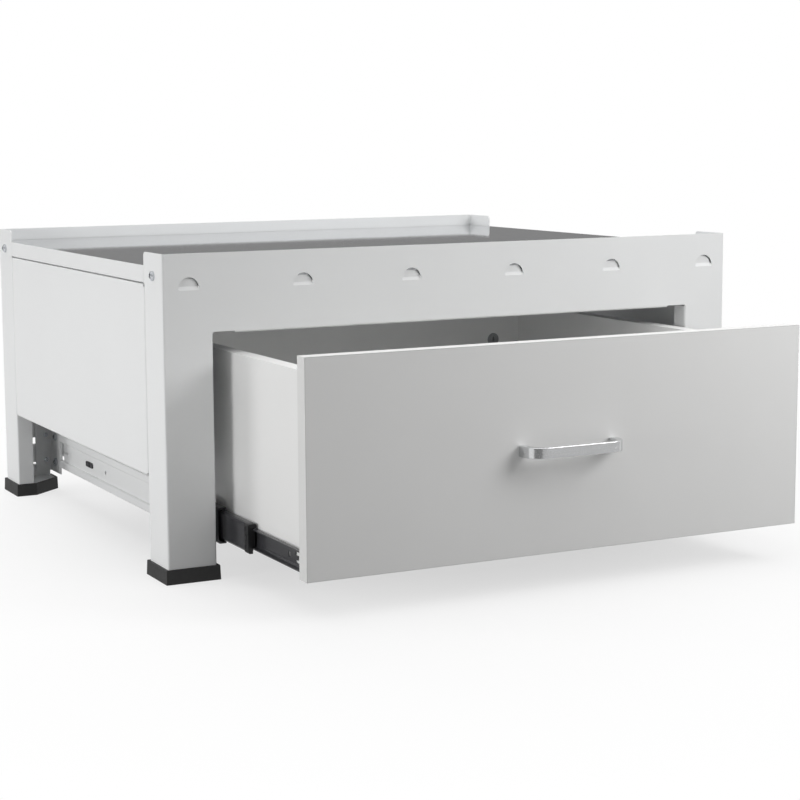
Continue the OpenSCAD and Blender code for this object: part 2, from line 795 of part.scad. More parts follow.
module carrier_screws() {
    color(BRIGHT) seat() both_hands() for (y = wing_screw_ys, s = [-1, 1])
        translate([-bracket_x, y, slide_z + s * screw_pitch / 2])
            rotate([0, -90, 0]) rotate(45) pan_screw(screw_d, 9, 3.6, bracket_t + sheet_t);
}

// ---- Ball-bearing slides ----------------------------------------------------------

// Section of a C-shaped member: web at a = 0, flanges towards +a
module member(h, depth) {
    difference() {
        translate([0, -h / 2]) plate(depth, h, bl = member_r, tl = member_r);
        translate([member_t, -h / 2 + member_t])
            plate(depth, h - 2 * member_t, bl = member_r - member_t, tl = member_r - member_t);
    }
}

// Raceways: grooves for the balls of one row pair
module raceways(a, z) {
    for (s = [-1, 1]) translate([a, s * z]) circle(ball_d / 2 + ball_gap);
}
outer_ball_z = outer_h / 2 - member_t - race_gap / 2;
inner_ball_z = middle_h / 2 - member_t - race_gap / 2;

// Put a drawing made in (a, z) on the slide and run it along y
module slide_bar(from, to) translate([-slide_x, 0, slide_z]) along_y(from, to) children();

module web_hole(y, a, d) {
    translate([-slide_x + a - 1, y, slide_z]) rotate([0, 90, 0]) cylinder(d = d, h = member_t + 2);
}

// Lips turned in at the ends of a member's two flanges
module member_lips(h, tip, lip) {
    for (s = [-1, 1])
        translate([tip - member_t, s * (h / 2 - (member_t + lip) / 2) - (member_t + lip) / 2])
            square([member_t, member_t + lip]);
}

module slide_outer(side) {
    color(BLACK) seat() hand(side) {
        difference() {
            slide_bar(outer_y, slide_end) difference() {
                union() {
                    member(outer_h, outer_tip);
                    member_lips(outer_h, outer_tip, lip_h);
                }
                raceways(outer_ball_a, outer_ball_z);
            }
            for (y = slide_rivet_ys()) web_hole(y, 0, rivet_d);
        }
        // rear hook, pressed out of the web in two lobes
        translate([-slide_x, hook_y, slide_z]) along_x(-sheet_t - 1, eps) difference() {
            hook_outline(fit_gap);
            translate([-2, -5]) square([2.5, 10]);
        }
    }
}

module outer_slide_rivets() {
    grip = sheet_t + member_t;
    color(BRIGHT) seat() both_hands() for (y = slide_rivet_ys())
        translate([-web_x, y, slide_z]) rotate([0, 90, 0]) {
            cylinder(d = rivet_d - 2 * coat_gap, h = grip);
            translate([0, 0, -1.2]) cylinder(d = 7, h = 1.2);
            translate([0, 0, grip]) cylinder(d = 5.5, h = 0.35);
        }
}

module slide_middle(side) {
    color(BLACK) seat() hand(side)
        slide_bar(middle_y, middle_y + middle_l) difference() {
            union() {
                translate([middle_a, 0]) member(middle_h, middle_tip - middle_a);
                member_lips(middle_h, middle_tip, lip_h - 0.4);
            }
            raceways(outer_ball_a, outer_ball_z);
            raceways(inner_ball_a, inner_ball_z);
        }
}

// Plastic stop clipped round the front end of the middle member
module middle_stop(side) {
    wall = 0.8;
    play = 0.5;
    hole_h = inner_h + 2 * play;
    core_h = inner_h - 2 * member_t - 2 * play;
    screw_head_a = slide_w - member_t - inner_head_h - play;
    from = middle_y - stop_l;
    color(BLACK) seat() hand(side) {
        slide_bar(from, middle_y) {
            difference() {
                translate([middle_a - 0.3, -middle_h / 2 - 0.4])
                    plate(middle_tip - middle_a, middle_h + 0.8, bl = 2, tl = 2, tr = 1, br = 1);
                translate([inner_tip - play, -hole_h / 2]) square([slide_w, hole_h]);
                translate([middle_tip - 4, -middle_h / 2 - 1]) square([slide_w, middle_h / 2]);
            }
            // core between the inner member's flanges, clear of its screw heads
            translate([middle_a, -core_h / 2]) square([screw_head_a - middle_a, core_h]);
        }
        // tongue inside the web
        slide_bar(middle_y - eps, middle_y + 12)
            translate([middle_a + member_t, -4]) square([wall, 8]);
        // raised marks on the side of the stop
        for (z = [-10, 7]) translate([-slide_x + middle_a - 0.3, from + stop_l - 2, slide_z + z])
            cylinder(d = 1.4, h = 4);
        for (a = [-30, 30]) translate([-slide_x + middle_a - 0.3, from + stop_l / 2, slide_z + 0.5])
            rotate([a, 0, 0]) translate([0, 0, -3.5]) cylinder(d = 1.2, h = 7);
    }
}

// Ball cage: a U-shaped strip whose flanges hold two rows of balls
module cage(side, y, web_a, ball_a, ball_z) {
    color(BRIGHT) seat() hand(side) difference() {
        slide_bar(y, y + cage_l) {
            translate([web_a, -ball_z - cage_t / 2]) square([cage_t, 2 * ball_z + cage_t]);
            for (s = [-1, 1])
                translate([web_a, s * ball_z - cage_t / 2]) square([ball_a + 1.5 - web_a, cage_t]);
        }
        for (b = ball_ys(y), s = [-1, 1])
            translate([-slide_x + ball_a, b, slide_z + s * ball_z - 1])
                cylinder(d = ball_d + 2 * ball_gap, h = 2);
    }
}
function ball_ys(y) = [for (i = [0 : ball_count - 1]) y + ball_pitch * (i + 0.5)];

module balls(side, y, ball_a, ball_z) {
    color(BRIGHT) seat() hand(side) for (b = ball_ys(y), s = [-1, 1])
        translate([-slide_x + ball_a, b, slide_z + s * ball_z]) sphere(d = ball_d);
}
outer_web_a = member_t + (web_gap - cage_t) / 2;
inner_web_a = middle_a + member_t + 0.3;

module slide_inner(side) {
    web_a = slide_w - member_t;
    hole_y = inner_y + oval_hole_at;
    slot_y = inner_y + end_slot_at;
    color(BLACK) seat() hand(side) difference() {
        slide_bar(inner_y, inner_y + slide_l) difference() {
            translate([slide_w, 0]) mirror([1, 0]) member(inner_h, slide_w - inner_tip);
            raceways(inner_ball_a, inner_ball_z);
        }
        for (y = inner_screw_ys()) web_hole(y, web_a, screw_small);
        // oval hole, and behind the drawer front a slot with a tab in it
        translate([-slide_x + web_a - 1, hole_y, slide_z]) along_x(0, member_t + 1.5)
            translate([-1.75, -3]) plate(3.5, 6, bl = 1.7, br = 1.7, tr = 1.7, tl = 1.7);
        translate([-slide_x + web_a - 1, slot_y, slide_z]) along_x(0, member_t + 1.5) difference() {
            translate([0, -5]) plate(9, 10, bl = 1, br = 1, tr = 1, tl = 1);
            translate([4, -2.5]) square([6, 4]);
        }
    }
}
oval_hole_at = 51;
end_slot_at = 28.5;
screw_small = 3.5;
inner_head_h = 1.6;
inner_screw_l = board_t - groove_d - 1;         // in the drawer's side, short of the bottom's groove
function inner_screw_ys() = let (first = inner_y + inner_screw_front, last = inner_y + slide_l - inner_screw_rear)
    [first, (first + last) / 2, last];

module inner_slide_screws() {
    color(BRIGHT) seat() both_hands() for (y = inner_screw_ys())
        translate([-box_x - member_t, y, slide_z]) rotate([0, -90, 0])
            pan_screw(screw_small, 6.4, inner_head_h, member_t + inner_screw_l);
}

// ---- Drawer ---------------------------------------------------------------------

side_x = box_x - board_t;                      // inner face of the drawer's sides
groove_gap = 0.1;
bolt_d = 7;
bolt_seat = 11;                                // how deep a cam bolt is screwed in
cam_depth = 12.5;
cam_zs = [box_z + cam_z, box_top - cam_z];

module bottom_panel_space(gap) {
    translate([-side_x - groove_d - gap, front_back - groove_d - gap, box_z + groove_z - gap])
        cube([2 * (side_x + groove_d + gap), box_l - board_t + 2 * groove_d + 2 * gap, bottom_t + 2 * gap]);
}

// Cylinder along x or y from one end towards +
module rod_x(x, y, z, d, l) translate([x, y, z]) rotate([0, 90, 0]) cylinder(d = d, h = l);
module rod_y(x, y, z, d, l) translate([x, y, z]) rotate([-90, 0, 0]) cylinder(d = d, h = l);

// Everything drilled for the cam joints, with a gap round each part
module front_joint(z, gap) {
    bolt_x = -box_x + board_t / 2;
    rod_y(bolt_x, front_back - bolt_seat, z, bolt_d - 1 + 2 * gap, bolt_seat + eps);
    rod_y(bolt_x, front_back, z, bolt_d + 2 * gap, cam_x - cam_d / 2 + 2 * gap);
}
module back_joint(z, gap) {
    bolt_y = box_end - board_t / 2;
    rod_x(-side_x - bolt_seat, bolt_y, z, bolt_d - 1 + 2 * gap, bolt_seat + eps);
    rod_x(-side_x, bolt_y, z, bolt_d + 2 * gap, cam_x - cam_d / 2 + 2 * gap);
}
module side_cam(z, gap) rod_x(-side_x - cam_depth - gap, front_back + cam_x, z, cam_d + 2 * gap, cam_depth + 2 * gap);
module back_cam(z, gap) {
    rod_y(-side_x + cam_x, box_end - board_t - gap, z, cam_d + 2 * gap, cam_depth + 2 * gap);
}

module handle_screw_holes() {
    for (s = [-1, 1]) rod_y(s * handle_pitch / 2, face_y - eps, handle_z, 4.6, board_t + 2 * eps);
}

module drawer_front() {
    color(BOARD) seat() difference() {
        translate([-front_w / 2 + band_t, face_y, front_z + band_t])
            cube([front_w - 2 * band_t, board_t, front_h - 2 * band_t]);
        bottom_panel_space(groove_gap);
        handle_screw_holes();
        both_hands() for (z = cam_zs) front_joint(z, groove_gap);
    }
}

// Plastic band glued round the cut edges of the drawer front
module front_edge_band() {
    color(BOARD) seat() translate([0, face_y, front_z]) difference() {
        translate([-front_w / 2, 0, 0]) cube([front_w, board_t, front_h]);
        translate([-front_w / 2 + band_t, -1, band_t])
            cube([front_w - 2 * band_t, board_t + 2, front_h - 2 * band_t]);
    }
}

module drawer_side(side) {
    color(BOARD) seat() hand(side) difference() {
        translate([-box_x, front_back, box_z]) cube([board_t, box_l, box_h]);
        bottom_panel_space(groove_gap);
        for (z = cam_zs) {
            front_joint(z, groove_gap);
            back_joint(z, groove_gap);
            side_cam(z, groove_gap);
        }
        for (y = inner_screw_ys())
            rod_x(-box_x - eps, y, slide_z, screw_small, inner_screw_l + groove_gap);
    }
}

module drawer_back() {
    color(BOARD) seat() difference() {
        translate([-side_x, box_end - board_t, box_z]) cube([2 * side_x, board_t, box_h]);
        bottom_panel_space(groove_gap);
        both_hands() for (z = cam_zs) {
            back_joint(z, groove_gap);
            back_cam(z, groove_gap);
        }
    }
}

module drawer_bottom() color(BOARD) seat() bottom_panel_space(0);

// Cam with its cross slot turned outwards
module cam_lock() {
    cross_l = cam_d * 0.42;
    cross_w = cam_d * 0.12;
    difference() {
        cylinder(d = cam_d, h = cam_depth - 0.3);
        for (a = [0, 90]) rotate(a)
            translate([-cross_l / 2, -cross_w / 2, cam_depth - 3]) cube([cross_l, cross_w, 4]);
        translate([0, 0, cam_depth - 1]) difference() {
            cylinder(d = cam_d - 2.4, h = 2);
            translate([0, 0, -1]) cylinder(d = cam_d - 4.4, h = 4);
        }
    }
}

module cam_locks() {
    color(BRIGHT) seat() both_hands() for (z = cam_zs) {
        translate([-side_x - cam_depth, front_back + cam_x, z]) rotate([0, 90, 0]) rotate(15) cam_lock();
        translate([-side_x + cam_x, box_end - board_t + cam_depth, z]) rotate([90, 0, 0]) rotate(15) cam_lock();
    }
}

module cam_bolts() {
    color(BRIGHT) seat() both_hands() for (z = cam_zs) {
        front_joint(z, 0);
        back_joint(z, 0);
    }
}

// ---- Handle -----------------------------------------------------------------------

module handle() {
    inner_r = handle_r - handle_foot + 2;
    color(BRIGHT) seat() translate([0, face_y, 0]) difference() {
        along_z(handle_z - handle_bar / 2, handle_z + handle_bar / 2) difference() {
            translate([-handle_end, -handle_depth])
                plate(2 * handle_end, handle_depth, bl = handle_r, br = handle_r);
            translate([-handle_end + handle_foot, -handle_depth + handle_t])
                plate(2 * (handle_end - handle_foot), handle_depth, bl = inner_r, br = inner_r);
        }
        for (s = [-1, 1]) rod_y(s * handle_pitch / 2, -12, handle_z, 4, 13);
    }
}

module handle_screws() {
    color(BRIGHT) seat() for (s = [-1, 1])
        translate([s * handle_pitch / 2, front_back, handle_z]) rotate([-90, 0, 0])
            pan_screw(4, 8, 2.6, board_t + 9);
}

// ---- The assembly -----------------------------------------------------------------

front_frame();
rear_frame();
deck_plate();
deck_brace("left");  // deck_brace_left
deck_brace("right");  // deck_brace_right
side_rail("left");  // side_rail_left
side_rail("right");  // side_rail_right
side_panel("left");  // side_panel_left
side_panel("right");  // side_panel_right
rail_screws();
rail_nuts();
panel_rivets();
foot("left", false);  // foot_front_left
foot("right", false);  // foot_front_right
foot("left", true);  // foot_rear_left
foot("right", true);  // foot_rear_right
slide_carrier("left");  // slide_carrier_left
slide_carrier("right");  // slide_carrier_right
front_bracket("left");  // front_bracket_left
front_bracket("right");  // front_bracket_right
rear_bracket("left");  // rear_bracket_left
rear_bracket("right");  // rear_bracket_right
bracket_screws();
carrier_screws();
slide_outer("left");  // slide_outer_left
slide_outer("right");  // slide_outer_right
outer_slide_rivets();
slide_middle("left");  // slide_middle_left
slide_middle("right");  // slide_middle_right
middle_stop("left");  // middle_stop_left
middle_stop("right");  // middle_stop_right
cage("left", outer_cage_y, outer_web_a, outer_ball_a, outer_ball_z);  // outer_cage_left
cage("right", outer_cage_y, outer_web_a, outer_ball_a, outer_ball_z);  // outer_cage_right
cage("left", inner_cage_y, inner_web_a, inner_ball_a, inner_ball_z);  // inner_cage_left
cage("right", inner_cage_y, inner_web_a, inner_ball_a, inner_ball_z);  // inner_cage_right
balls("left", outer_cage_y, outer_ball_a, outer_ball_z);  // outer_balls_left
balls("right", outer_cage_y, outer_ball_a, outer_ball_z);  // outer_balls_right
balls("left", inner_cage_y, inner_ball_a, inner_ball_z);  // inner_balls_left
balls("right", inner_cage_y, inner_ball_a, inner_ball_z);  // inner_balls_right
slide_inner("left");  // slide_inner_left
slide_inner("right");  // slide_inner_right
inner_slide_screws();
drawer_front();
front_edge_band();
drawer_side("left");  // drawer_side_left
drawer_side("right");  // drawer_side_right
drawer_back();
drawer_bottom();
cam_locks();
cam_bolts();
handle();
handle_screws();
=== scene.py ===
"""Washing machine pedestal with a drawer: finishes, two finer shapes, camera and studio.

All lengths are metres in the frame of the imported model: origin on the floor
under the middle of the pedestal, drawer towards -Y, +Z up.
"""
import json
import math

import bmesh
import bpy
from mathutils import Matrix, Vector


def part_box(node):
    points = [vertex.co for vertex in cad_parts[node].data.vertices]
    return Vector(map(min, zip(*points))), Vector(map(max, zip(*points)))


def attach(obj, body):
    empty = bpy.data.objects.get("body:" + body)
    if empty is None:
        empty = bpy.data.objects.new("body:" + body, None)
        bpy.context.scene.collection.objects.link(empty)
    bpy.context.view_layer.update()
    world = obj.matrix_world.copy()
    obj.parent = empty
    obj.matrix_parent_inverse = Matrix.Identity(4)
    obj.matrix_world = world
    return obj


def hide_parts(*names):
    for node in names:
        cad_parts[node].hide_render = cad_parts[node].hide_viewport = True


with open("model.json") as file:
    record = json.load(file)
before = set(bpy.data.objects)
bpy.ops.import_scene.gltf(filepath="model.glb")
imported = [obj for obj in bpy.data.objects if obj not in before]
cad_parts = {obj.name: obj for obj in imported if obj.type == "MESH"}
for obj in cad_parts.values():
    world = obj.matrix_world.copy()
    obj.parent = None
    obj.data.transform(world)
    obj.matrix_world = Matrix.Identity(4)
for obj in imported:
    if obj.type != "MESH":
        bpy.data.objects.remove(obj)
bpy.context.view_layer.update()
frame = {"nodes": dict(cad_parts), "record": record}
cad = frame["nodes"]
scene = bpy.context.scene
scene.view_settings.view_transform = "Standard"

MM = 0.001


# ---- Colours and shader nodes ------------------------------------------------

def colour(hex_code):
    """Turns an sRGB hex colour such as #C8C8C8 into the linear one that shaders take."""
    channels = [int(hex_code[i:i + 2], 16) / 255 for i in (1, 3, 5)]
    return tuple(c / 12.92 if c <= 0.04045 else ((c + 0.055) / 1.055) ** 2.4 for c in channels) + (1.0,)


def add(tree, kind, values=None, links=None, **settings):
    """Adds one node, fills in its settings and socket values, and links its inputs."""
    new = tree.nodes.new("ShaderNode" + kind)
    for name, value in settings.items():
        setattr(new, name, value)
    for socket, value in (values or {}).items():
        new.inputs[socket].default_value = value
    for socket, source in (links or {}).items():
        tree.links.new(source, new.inputs[socket])
    return new


def new_material(name):
    material = bpy.data.materials.new(name)
    material.use_nodes = True
    material.node_tree.nodes.clear()
    return material, material.node_tree


def new_finish(name):
    """An empty material whose patterns keep to the piece they are on."""
    material, tree = new_material(name)
    return material, tree, add(tree, "TexCoord").outputs["Object"]


# The Mix node has sockets of the same name for numbers and colours, so they go by place
MIX_SHARE = 0
NUMBER_A, NUMBER_B, MIXED_NUMBER = 2, 3, 0
COLOUR_A, COLOUR_B, MIXED_COLOUR = 6, 7, 2

WHOLE_SPAN = (0.0, 1.0)
NOISE_SPAN = (0.3, 0.7)         # where nearly all values of a noise pattern lie


def finish(tree, shader, tint, rough, relief=None, span=WHOLE_SPAN):
    """Makes a finish's surface, from the shader's own values and three sets of a pattern and
    what it does: tint, with the hex colours of its lows and highs; rough, with the roughness
    at each end of its span; and relief, with its strength and its depth."""
    pattern, dark, light = tint
    shade = add(tree, "Mix", {COLOUR_A: colour(dark), COLOUR_B: colour(light)},
                {MIX_SHARE: pattern}, data_type="RGBA")
    pattern, smoothest, roughest = rough
    dullness = add(tree, "MapRange", {"From Min": span[0], "From Max": span[1],
                                      "To Min": smoothest, "To Max": roughest}, {"Value": pattern})
    links = {"Base Color": shade.outputs[MIXED_COLOUR], "Roughness": dullness.outputs["Result"]}
    if relief:
        pattern, strength, depth = relief
        bump = add(tree, "Bump", {"Strength": strength, "Distance": depth}, {"Height": pattern})
        links["Normal"] = bump.outputs["Normal"]
    surface = add(tree, "BsdfPrincipled", shader, links)
    add(tree, "OutputMaterial", links={"Surface": surface.outputs[0]})
    return surface


# ---- Finishes ------------------------------------------------------------------

def satin_powder_coat():
    """Polyester powder coat on folded steel: bright white, satin, flowed out
    smooth but for a shallow orange peel of about 3 mm."""
    material, tree, place = new_finish("satin powder coat, white")
    peel = add(tree, "TexNoise", {"Scale": 1 / (3 * MM), "Detail": 1.0, "Roughness": 0.4}, {"Vector": place})
    cloud = add(tree, "TexNoise", {"Scale": 1 / (90 * MM), "Detail": 3.0}, {"Vector": place})
    finish(tree, {"IOR": 1.5},
           tint=(cloud.outputs["Fac"], "#EDEEEE", "#F1F2F2"),
           rough=(cloud.outputs["Fac"], 0.36, 0.44),
           relief=(peel.outputs["Fac"], 0.05, 0.2 * MM))
    return material


def melamine_face():
    """Melamine-faced chipboard: warm white paper under resin, pressed with a
    fine pearl grain of about 1 mm that keeps its sheen dull."""
    material, tree, place = new_finish("melamine-faced chipboard, white")
    pearl = add(tree, "TexVoronoi", {"Scale": 1 / (1.2 * MM)}, {"Vector": place}, feature="SMOOTH_F1")
    cloud = add(tree, "TexNoise", {"Scale": 1 / (60 * MM), "Detail": 2.0}, {"Vector": place})
    finish(tree, {"IOR": 1.5, "Specular IOR Level": 0.35},
           tint=(cloud.outputs["Fac"], "#F0F0EF", "#F3F3F2"),
           rough=(cloud.outputs["Fac"], 0.42, 0.50),
           relief=(pearl.outputs["Distance"], 0.10, 0.1 * MM))
    return material


def edge_band():
    """ABS edge band, 0.8 mm: a shade greyer than the board, dull where the
    scraper has passed along it."""
    material, tree, place = new_finish("ABS edge band, white")
    scrape = add(tree, "TexNoise", {"Scale": 1 / (7 * MM), "Detail": 2.0}, {"Vector": place})
    finish(tree, {"IOR": 1.53, "Specular IOR Level": 0.2},
           tint=(scrape.outputs["Fac"], "#E2E2E1", "#E6E6E5"),
           rough=(scrape.outputs["Fac"], 0.48, 0.56))
    return material


def galvanised_sheet():
    """Hot-dip galvanised sheet, skin-passed: grey zinc rolled so smooth that it
    mirrors its surroundings at a low angle, with small spangles of about 6 mm.
    Its rolled grain is drawn as coarse as 2.2 mm, so that it shows."""
    material, tree, place = new_finish("skin-passed galvanised sheet")
    spangle = add(tree, "TexVoronoi", {"Scale": 1 / (6 * MM)}, {"Vector": place})
    rolled = add(tree, "TexNoise", {"Scale": 1 / (2.2 * MM), "Detail": 3.0, "Roughness": 0.6},
                 {"Vector": place})
    spangle_share = 0.2
    height = add(tree, "Mix", {MIX_SHARE: spangle_share},
                 {NUMBER_A: rolled.outputs["Fac"], NUMBER_B: spangle.outputs["Distance"]}, data_type="FLOAT")
    finish(tree, {"Metallic": 1.0},
           tint=(spangle.outputs["Color"], "#A9ABAE", "#C2C4C6"),
           rough=(rolled.outputs["Fac"], 0.02, 0.05),
           relief=(height.outputs[MIXED_NUMBER], 0.11, 0.12 * MM),
           span=NOISE_SPAN)
    return material


def dip_coated_steel():
    """Cathodic dip coat on rolled steel: thin, even charcoal black with a soft
    gloss that shows the rolled edges."""
    material, tree, place = new_finish("black dip-coated steel")
    film = add(tree, "TexNoise", {"Scale": 1 / (4 * MM), "Detail": 3.0}, {"Vector": place})
    finish(tree, {"IOR": 1.55},
           tint=(film.outputs["Fac"], "#363639", "#3F3F42"),
           rough=(film.outputs["Fac"], 0.18, 0.28),
           relief=(film.outputs["Fac"], 0.08, 0.1 * MM))
    return material


def moulded_rubber():
    """Moulded rubber with carbon black: matt, slightly cloudy where talc
    stays in the pores, which are drawn as coarse as 2.5 mm, so that they show."""
    material, tree, place = new_finish("moulded rubber, black")
    pores = add(tree, "TexNoise", {"Scale": 1 / (2.5 * MM), "Detail": 5.0, "Roughness": 0.7},
                {"Vector": place})
    talc = add(tree, "TexNoise", {"Scale": 1 / (12 * MM), "Detail": 4.0}, {"Vector": place})
    finish(tree, {"IOR": 1.52},
           tint=(talc.outputs["Fac"], "#131313", "#2A2A2A"),
           rough=(pores.outputs["Fac"], 0.55, 0.75),
           relief=(pores.outputs["Fac"], 0.4, 0.3 * MM))
    return material


def moulded_plastic():
    """Acetal moulding in black: plain, with a low even sheen from the grain of
    its mould, drawn as coarse as 1.5 mm, so that it shows."""
    material, tree, place = new_finish("acetal, black")
    grain = add(tree, "TexNoise", {"Scale": 1 / (1.5 * MM), "Detail": 2.0}, {"Vector": place})
    finish(tree, {"IOR": 1.48},
           tint=(grain.outputs["Fac"], "#161617", "#1E1E20"),
           rough=(grain.outputs["Fac"], 0.35, 0.48))
    return material


QUARTER_TURN = 0.25


def metal(name, dark, light, smoothest, roughest, grain_size, stretch=(1, 1, 1), strength=0.1,
          hairlines=0.0):
    """Bare or plated metal. Its grain is drawn coarser than it is, so that it shows, and may
    be stretched along one axis. Level hairlines spread its highlights up and down."""
    material, tree, place = new_finish(name)
    drawn = add(tree, "Mapping", {"Scale": stretch}, {"Vector": place})
    grain = add(tree, "TexNoise", {"Scale": 1 / grain_size, "Detail": 4.0, "Roughness": 0.6},
                {"Vector": drawn.outputs["Vector"]})
    surface = finish(tree, {"Metallic": 1.0},
                     tint=(grain.outputs["Fac"], dark, light),
                     rough=(grain.outputs["Fac"], smoothest, roughest),
                     relief=(grain.outputs["Fac"], strength, 0.05 * MM),
                     span=NOISE_SPAN)
    if hairlines:
        around = add(tree, "Tangent", direction_type="RADIAL", axis="Z")
        tree.links.new(around.outputs[0], surface.inputs["Tangent"])
        surface.inputs["Anisotropic"].default_value = hairlines
        surface.inputs["Anisotropic Rotation"].default_value = QUARTER_TURN
    return material


finishes = {
    "white_powder_coat": satin_powder_coat(),
    "white_melamine_board": melamine_face(),
    "white_edge_band": edge_band(),
    "galvanised_sheet": galvanised_sheet(),
    "black_coated_steel": dip_coated_steel(),
    "black_rubber": moulded_rubber(),
    "black_plastic": moulded_plastic(),
    # Bright zinc on steel, clear passivated: cool silver, fine even grain
    "zinc_plated_steel": metal("bright zinc plate", "#B9BCC1", "#D2D4D8", 0.18, 0.30, 1.5 * MM),
    # Bearing balls: ground and lapped, close to a mirror
    "polished_steel": metal("bearing steel, lapped", "#C9C9CB", "#D4D4D6", 0.06, 0.10, 3.0 * MM,
                            strength=0.0),
    # Zinc die casting, tumbled: greyer than plate, soft grain
    "die_cast_zinc": metal("die-cast zinc, tumbled", "#9C9DA0", "#B5B6B8", 0.30, 0.45, 0.8 * MM,
                           strength=0.3),
    # Aluminium, brushed lengthwise and clear anodised: hairlines run along the bow
    "satin_aluminium": metal("satin anodised aluminium", "#D2D3D4", "#DEDFE0", 0.20, 0.28, 1.2 * MM,
                             stretch=(0.06, 1, 1), strength=0.2, hairlines=0.6),
}

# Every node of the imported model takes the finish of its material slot
for part in frame["record"]["subparts"]:
    piece = cad[part["node"]]
    piece.data.materials.clear()
    piece.data.materials.append(finishes[part["material_slot"]])


# ---- Making pieces -------------------------------------------------------------------

def mesh_piece(shape, name, slot):
    """Makes a piece of the finished mesh work, in a slot's finish."""
    mesh = bpy.data.meshes.new(name)
    shape.to_mesh(mesh)
    shape.free()
    mesh.materials.append(finishes[slot])
    made = bpy.data.objects.new(name, mesh)
    scene.collection.objects.link(made)
    return made


def round_edges(made, radius, segments, least_turn):
    """Rounds the edges at which a piece turns by at least so many degrees."""
    edge = made.modifiers.new("rounded edges", "BEVEL")
    edge.width, edge.segments = radius, segments
    edge.limit_method, edge.angle_limit = "ANGLE", math.radians(least_turn)


# ---- Handle ------------------------------------------------------------------------------

handle_foot = 7.5 * MM          # thickness of the bow where it meets the drawer
handle_bar = 4 * MM             # thickness of its bar
handle_outside = 18 * MM        # radius of its bends, outside and inside
handle_inside = 12.5 * MM
handle_steps = 24               # flats in each bend
handle_edge = 0.55 * MM         # radius that its edges are tumbled to
weld_gap = 0.005 * MM           # corners closer than this are one


def bow_handle():
    """The node's bow with its bends drawn smooth, so that they mirror the studio cleanly."""
    low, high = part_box("handle")
    reach = high[0]

    def bend(radius, front, side):
        """Quarter turn on the left, from the foot to the bar, seen from above."""
        turns = (math.pi / 2 * i / handle_steps for i in range(handle_steps + 1))
        return [Vector((radius - side - radius * math.cos(a), front + radius - radius * math.sin(a)))
                for a in turns]

    outer = [Vector((-reach, high[1]))] + bend(handle_outside, low[1], reach)
    inner = [Vector((handle_foot - reach, high[1]))]
    inner += bend(handle_inside, low[1] + handle_bar, reach - handle_foot)
    outer += [Vector((-p.x, p.y)) for p in reversed(outer)]
    inner += [Vector((-p.x, p.y)) for p in reversed(inner)]

    # The four corners of each cross section, from one foot along the bow to the other
    shape = bmesh.new()
    rings = [[shape.verts.new((at.x, at.y, z)) for at, z in
              ((out, low[2]), (out, high[2]), (within, high[2]), (within, low[2]))]
             for out, within in zip(outer, inner)]
    for ring, following in zip(rings, rings[1:]):
        for k in range(4):
            shape.faces.new((ring[k], ring[(k + 1) % 4], following[(k + 1) % 4], following[k]))
    shape.faces.new(rings[0])
    shape.faces.new(list(reversed(rings[-1])))
    bmesh.ops.recalc_face_normals(shape, faces=shape.faces)
    for face in shape.faces:
        face.smooth = True

    bow = mesh_piece(shape, "bow_handle", "satin_aluminium")
    bow.modifiers.new("weld", "WELD").merge_threshold = weld_gap
    round_edges(bow, handle_edge, segments=3, least_turn=35)
    bow.modifiers.new("even shading", "WEIGHTED_NORMAL").keep_sharp = True
    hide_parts("handle")
    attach(bow, "drawer")


bow_handle()


# ---- Half-moons of the aprons ----------------------------------------------------------

# The photograph shows each half-moon pushed in by about twice the sheet's thickness: a
# bright ramp along its foot, then an upright tab cut free along the arc

lance_count = 6                 # cuts in each apron
lance_r = 10.5 * MM             # radius of a cut
lance_rise = 1.5 * MM           # its centre above its foot
lance_below = 34 * MM           # its foot below the frame's top
lance_edge = 26 * MM            # centre of the outer cuts from the frame's side
moon_depth = 2.1 * MM           # how far a tab is pushed in
moon_ramp = 3.0 * MM            # height of the ramp that leads to it
moon_sheet = 0.6 * MM           # thickness that shows at the cut
moon_gap = 0.6 * MM             # open cut round a tab
moon_side_gap = 0.1 * MM        # and beside its ramp
moon_fold = 0.35 * MM           # radius of its folds
moon_steps = 28                 # flats in its arc


def half_moon(shape, at, inward):
    """Adds one pushed-in half-moon: at is the middle of its foot on the apron's face, and
    inward is +1 or -1 along Y."""
    wide, tab = lance_r - moon_side_gap, lance_r - moon_gap

    def point(x, depth, z):
        return shape.verts.new((at.x + x, at.y + inward * depth, at.z + z))

    start = math.asin((moon_ramp - lance_rise) / tab)
    foot = [point(-wide, 0, 0), point(wide, 0, 0)]
    cheek = [point(-wide, 0, moon_ramp), point(wide, 0, moon_ramp)]
    turns = (start + (math.pi - 2 * start) * i / moon_steps for i in range(moon_steps + 1))
    arc = [point(tab * math.cos(a), moon_depth, lance_rise + tab * math.sin(a)) for a in turns]
    shape.faces.new((foot[0], foot[1], arc[0], arc[-1]))
    shape.faces.new(arc)
    shape.faces.new((foot[1], cheek[1], arc[0]))
    shape.faces.new((foot[0], arc[-1], cheek[0]))


def row_of_half_moons(name, frame_node, inward):
    """The half-moons of one apron, whose face is the frame's outermost plane."""
    low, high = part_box(frame_node)
    face_y = low[1] if inward > 0 else high[1]
    span = high[0] - low[0] - 2 * lance_edge
    shape = bmesh.new()
    for i in range(lance_count):
        x = span * (i / (lance_count - 1) - 0.5)
        half_moon(shape, Vector((x, face_y, high[2] - lance_below)), inward)
    if inward < 0:
        bmesh.ops.reverse_faces(shape, faces=shape.faces)
    row = mesh_piece(shape, name, "white_powder_coat")
    thick = row.modifiers.new("sheet", "SOLIDIFY")
    thick.thickness, thick.offset = moon_sheet, -1
    round_edges(row, moon_fold, segments=2, least_turn=20)
    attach(row, "frame")


row_of_half_moons("half_moons_front", "front_frame", 1)
row_of_half_moons("half_moons_rear", "rear_frame", -1)


# ---- Camera ----------------------------------------------------------------------

